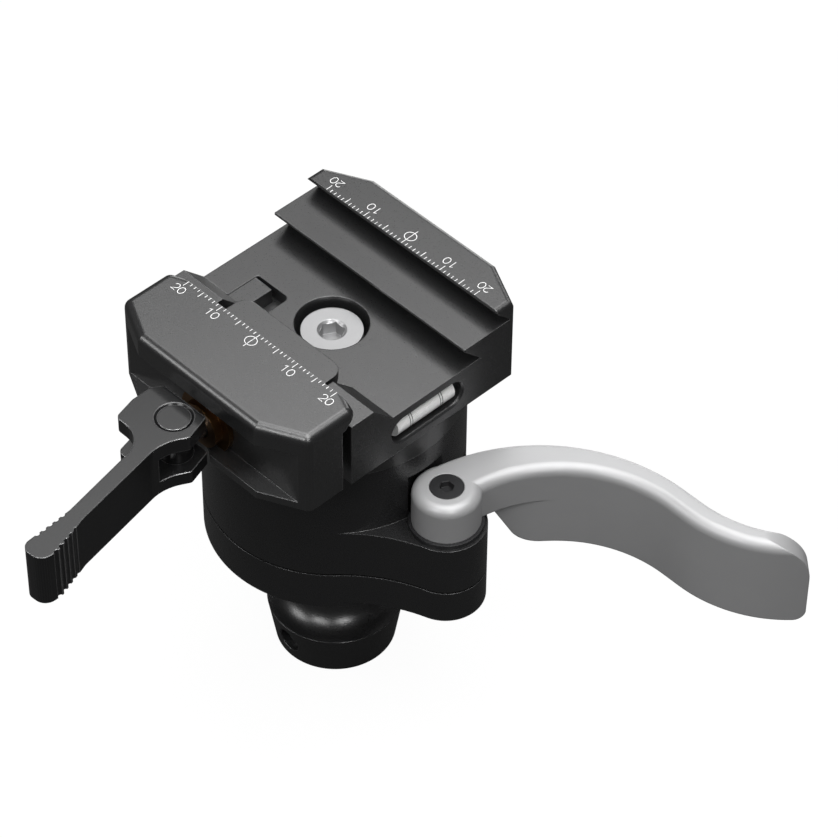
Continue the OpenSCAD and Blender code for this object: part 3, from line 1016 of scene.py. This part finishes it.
@dataclass
class Level(Assembly):
    """The spirit level in the end window.

    Attributes:
        at: The vial's middle.
        radius: Outer radius of the vial.
        lines: Distances of the rings from the middle.
        ring: Width of a ring.
        proud: Distances of a ring's inside and outside from the vial.
    """

    at: Triple = (22.4, 0.0, 78.0)
    radius: float = 2.5
    lines: tuple[float, ...] = (-4.02, -3.48, 3.48, 4.02)
    ring: float = 0.14
    proud: Pair = (0.005, 0.03)

    def finishes(self) -> dict[str, Finish]:
        """Returns the finishes of the level's parts."""
        return {"vial_bed": WHITE, "level_vial": GLASS, "level_liquid": SPIRIT}

    def add(self) -> None:
        """Adds the rings round the vial."""
        rings = Piece("vial_rings")
        half = self.ring / 2
        inside, outside = (self.radius + distance for distance in self.proud)
        for y in self.lines:
            rings.lathe(
                [(inside, -half), (outside, -half), (outside, half), (inside, half)],
                Vector(self.at) + Vector((0.0, y, 0.0)),
                Vector((0.0, 1.0, 0.0)),
            )
        rings.finish(self.palette.get(INK), Body.HEAD, None)


@dataclass
class Housing(Assembly):
    """The split housing with what is held inside it."""

    def finishes(self) -> dict[str, Finish]:
        """Returns the finishes of the housing's parts."""
        return {
            "housing": BODY,
            "lower_cover": BODY,
            "cover_screws": DARK,
            "thrust_washer": DARK,
            "pressure_cup": LINING,
            "lower_seat": LINING,
        }


@dataclass
class Lock(Assembly):
    """The lock lever on its bolt."""

    def finishes(self) -> dict[str, Finish]:
        """Returns the finishes of the lock lever's parts."""
        return {"lock_lever": SILVER, "lever_screw": DARK, "clamp_bolt": STEEL}


@dataclass
class Foot(Assembly):
    """The ball with its collar and tapped hole.

    Attributes:
        hole: Radius of the tapped hole.
        start: Height of the thread's start.
        pitch: Pitch of the thread.
        depth: Depth of the thread.
        turns: Turns of the thread.
        flank: Half width of the thread at the wall, as a share of its pitch.
        crest: Half width of the thread at its crest.
        inset: How far the thread stands inside the wall.
    """

    hole: float = 4.0
    start: float = 1.0
    pitch: float = 1.27
    depth: float = 0.55
    turns: float = 8.0
    flank: float = 0.42
    crest: float = 0.08
    inset: float = 0.02

    def finishes(self) -> dict[str, Finish]:
        """Returns the finishes of the foot's parts."""
        return {"ball_stem": BLACK, "base_collar": BLACK, "collar_set_screw": DARK}

    def add(self) -> None:
        """Adds the thread in the tapped hole."""
        thread = Piece("base_thread")
        half, deep, crest = self.pitch * self.flank, -self.depth, self.crest
        thread.helix(
            UPWARD * self.start,
            self.hole - self.inset,
            self.pitch,
            self.turns,
            [(0.0, -half), (0.0, half), (deep, crest), (deep, -crest)],
        )
        thread.finish(self.palette.get(BLACK), Body.FOOT, Slot.ANODISED)


# ---------------------------------------------------------------- studio


@dataclass(frozen=True)
class Softbox:
    """A soft lamp aimed at the object.

    Attributes:
        name: The lamp's name.
        place: Where it stands, in metres.
        size: Side of its square in metres.
        power: Power in watts.
        aim: The point it is aimed at, in metres.
    """

    name: str
    place: Triple
    size: float
    power: float
    aim: Triple = (0.0, 0.0, 0.06)

    def build(self) -> None:
        """Adds the lamp to the scene."""
        data = bpy.data.lights.new(self.name, "AREA")
        data.shape, data.size, data.energy = "SQUARE", self.size, self.power
        lamp = bpy.data.objects.new(self.name, data)
        lamp.location = self.place
        lamp.rotation_mode = "QUATERNION"
        way = Vector(self.aim) - Vector(self.place)
        lamp.rotation_quaternion = way.to_track_quat("-Z", "Y")
        bpy.context.scene.collection.objects.link(lamp)


@dataclass
class Studio:
    """Camera, lamps, floor and world.

    Attributes:
        eye: The camera's place in metres.
        azimuth: Its direction in degrees.
        elevation: Its elevation in degrees.
        roll: Its roll in degrees.
        lens: Its focal length on the sensor.
        sensor: The sensor's width.
        clip: Nearest and farthest distance that the camera sees, in metres.
        floor: Half side of the floor in metres.
        drop: How far the floor lies below the foot, in metres.
        floor_tones: Darkest and lightest grey of the floor.
        floor_patches: Patches of its greys to the metre.
        floor_roughness: Its roughness.
        floor_white: How bright the camera sees it, 1 for white.
        mirrored: Share of the white background that glossy surfaces mirror.
        ambient: Strength of the world's light.
        lamps: The soft lamps.
    """

    eye: Triple = (0.369501, -0.339733, 0.57093)
    azimuth: float = 45.573
    elevation: float = 45.637
    roll: float = 0.550
    lens: float = 165.07
    sensor: float = 36.0
    clip: Pair = (0.01, 50.0)
    floor: float = 4.0
    drop: float = 0.0003
    floor_tones: Pair = (0.034, 0.036)
    floor_patches: float = 3.0
    floor_roughness: float = 0.9
    floor_white: float = 0.96
    mirrored: float = 0.025
    ambient: float = 0.04
    lamps: tuple[Softbox, ...] = (
        Softbox("sheen", (-0.34, 0.34, 0.9), 0.46, 2.5),
        Softbox("left_rim", (-0.5, -0.58, 0.68), 0.35, 2.2),
        Softbox("key", (0.12, -0.74, 0.72), 0.35, 2.8),
        Softbox("corner", (0.7, -0.32, 0.68), 0.26, 2.4),
        Softbox("top", (0.15, 0.02, 0.95), 0.8, 12.0),
        Softbox("back", (-0.5, 0.8, 0.14), 0.5, 3.0),
    )

    def camera(self) -> None:
        """Adds the camera at the photograph's view."""
        az, el, roll = (math.radians(v) for v in (self.azimuth, self.elevation, self.roll))
        right = Vector((math.cos(az), math.sin(az), 0.0))
        back = Vector((math.sin(az) * math.cos(el), -math.cos(az) * math.cos(el), math.sin(el)))
        up = back.cross(right)
        across = right * math.cos(roll) + up * math.sin(roll)
        upward = up * math.cos(roll) - right * math.sin(roll)
        data = bpy.data.cameras.new("camera")
        data.lens, data.sensor_width, data.sensor_fit = self.lens, self.sensor, "AUTO"
        data.clip_start, data.clip_end = self.clip
        camera = bpy.data.objects.new("camera", data)
        turn = Matrix((across, upward, back)).transposed().to_4x4()
        camera.matrix_world = Matrix.Translation(self.eye) @ turn
        bpy.context.scene.collection.objects.link(camera)
        bpy.context.scene.camera = camera

    def seen(
        self, add: Callable[[str], bpy.types.Node], link: Callable[[Socket, Socket], Any]
    ) -> Socket:
        """Adds a value that is 1 for rays that see the white background.

        Args:
            add: Adds a node by type.
            link: Links an output to an input.

        Returns:
            The value's output.
        """
        path = add("ShaderNodeLightPath")
        total = path.outputs["Is Camera Ray"]
        for other, share in (("Is Glossy Ray", self.mirrored), ("Is Transmission Ray", 1.0)):
            node = add("ShaderNodeMath")
            node.operation = "MULTIPLY_ADD"
            link(path.outputs[other], node.inputs[0])
            node.inputs[1].default_value = share
            link(total, node.inputs[2])
            total = node.outputs["Value"]
        return total

    def ground(self) -> None:
        """Adds the white floor, which keeps a soft shadow."""
        piece = bmesh.new()
        bmesh.ops.create_grid(piece, x_segments=1, y_segments=1, size=self.floor)
        bmesh.ops.translate(piece, verts=piece.verts, vec=(0.0, 0.0, -self.drop))
        mesh = bpy.data.meshes.new("floor")
        piece.to_mesh(mesh)
        piece.free()
        floor = bpy.data.objects.new("floor", mesh)
        bpy.context.scene.collection.objects.link(floor)
        bench = Bench("floor_white")
        seen = self.seen(bench.add, bench.tree.links.new)
        dark, light = ((tone, tone, tone) for tone in self.floor_tones)
        bench.surface(
            Base_Color=bench.tint(bench.noise(self.floor_patches, detail=3.0), dark, light),
            Roughness=self.floor_roughness,
            Specular_IOR_Level=0.0,
            Emission_Color=(1.0, 1.0, 1.0),
            Emission_Strength=bench.spread(seen, 0.0, self.floor_white),
        )
        mesh.materials.append(bench.material)

    def sky(self) -> None:
        """Sets a world that lights softly and shows white."""
        world = bpy.data.worlds.new("studio")
        bpy.context.scene.world = world
        world.use_nodes = True
        tree = world.node_tree
        tree.nodes.clear()
        seen = self.seen(tree.nodes.new, tree.links.new)
        level = tree.nodes.new("ShaderNodeMapRange")
        tree.links.new(seen, level.inputs["Value"])
        level.inputs["To Min"].default_value = self.ambient
        level.inputs["To Max"].default_value = 1.0
        background = tree.nodes.new("ShaderNodeBackground")
        background.inputs["Color"].default_value = (1.0, 1.0, 1.0, 1.0)
        tree.links.new(level.outputs["Result"], background.inputs["Strength"])
        output = tree.nodes.new("ShaderNodeOutputWorld")
        tree.links.new(background.outputs["Background"], output.inputs["Surface"])

    def build(self) -> None:
        """Sets the whole studio."""
        bpy.context.scene.view_settings.view_transform = "Standard"
        self.camera()
        self.ground()
        self.sky()
        for lamp in self.lamps:
            lamp.build()


def main() -> None:
    """Builds the looks in order and reports them."""
    logging.basicConfig(level=logging.INFO, format="%(name)s: %(message)s")
    for obj in list(bpy.data.objects):
        bpy.data.objects.remove(obj)
    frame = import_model()
    palette = Palette()
    dressed: set[str] = set()
    for kind in (Foot, Housing, Clamp, Level, Jaw, Cam, Lock):
        assembly = kind(frame["nodes"], palette)
        assembly.build()
        dressed |= set(assembly.finishes())
        LOG.info("%s: %d CAD nodes dressed", kind.__name__, len(assembly.finishes()))
    bare = sorted(set(frame["nodes"]) - dressed)
    if bare:
        LOG.warning("no finish for %s", ", ".join(bare))
    Studio().build()


if __name__ == "__main__":
    main()
